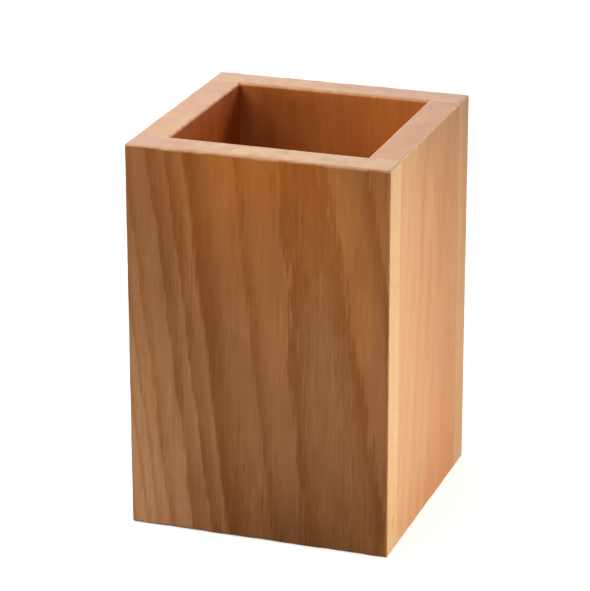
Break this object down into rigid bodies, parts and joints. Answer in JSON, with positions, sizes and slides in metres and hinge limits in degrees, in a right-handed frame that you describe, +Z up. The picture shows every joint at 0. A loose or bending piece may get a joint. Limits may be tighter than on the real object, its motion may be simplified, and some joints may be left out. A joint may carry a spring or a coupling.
{
  "type": "pen cup",
  "caption": "Square open-topped wooden pen cup: upright boards butt-glued at the corners round a bottom panel held in grooves, for standing pens and pencils on a desk.",
  "frame": {"origin": "middle of the base, on the plane that the cup stands on", "axes": "+Z up out of the cup's mouth, -Y out of the front face, +X to the right seen from the front"},
  "size_m": [0.074, 0.074, 0.11],
  "materials": {
    "front_wood": "oiled satin, flat-sawn cherry with dark growth lines",
    "back_wood": "oiled satin, flat-sawn cherry",
    "left_wood": "oiled satin, plain cherry",
    "right_wood": "oiled satin, pale straight-grained cherry",
    "bottom_wood": "oiled satin, plain cherry"
  },
  "bodies": {
    "root": {"front_board": "front_wood", "back_board": "back_wood", "left_board": "left_wood", "right_board": "right_wood", "bottom_panel": "bottom_wood"}
  },
  "joints": []
}
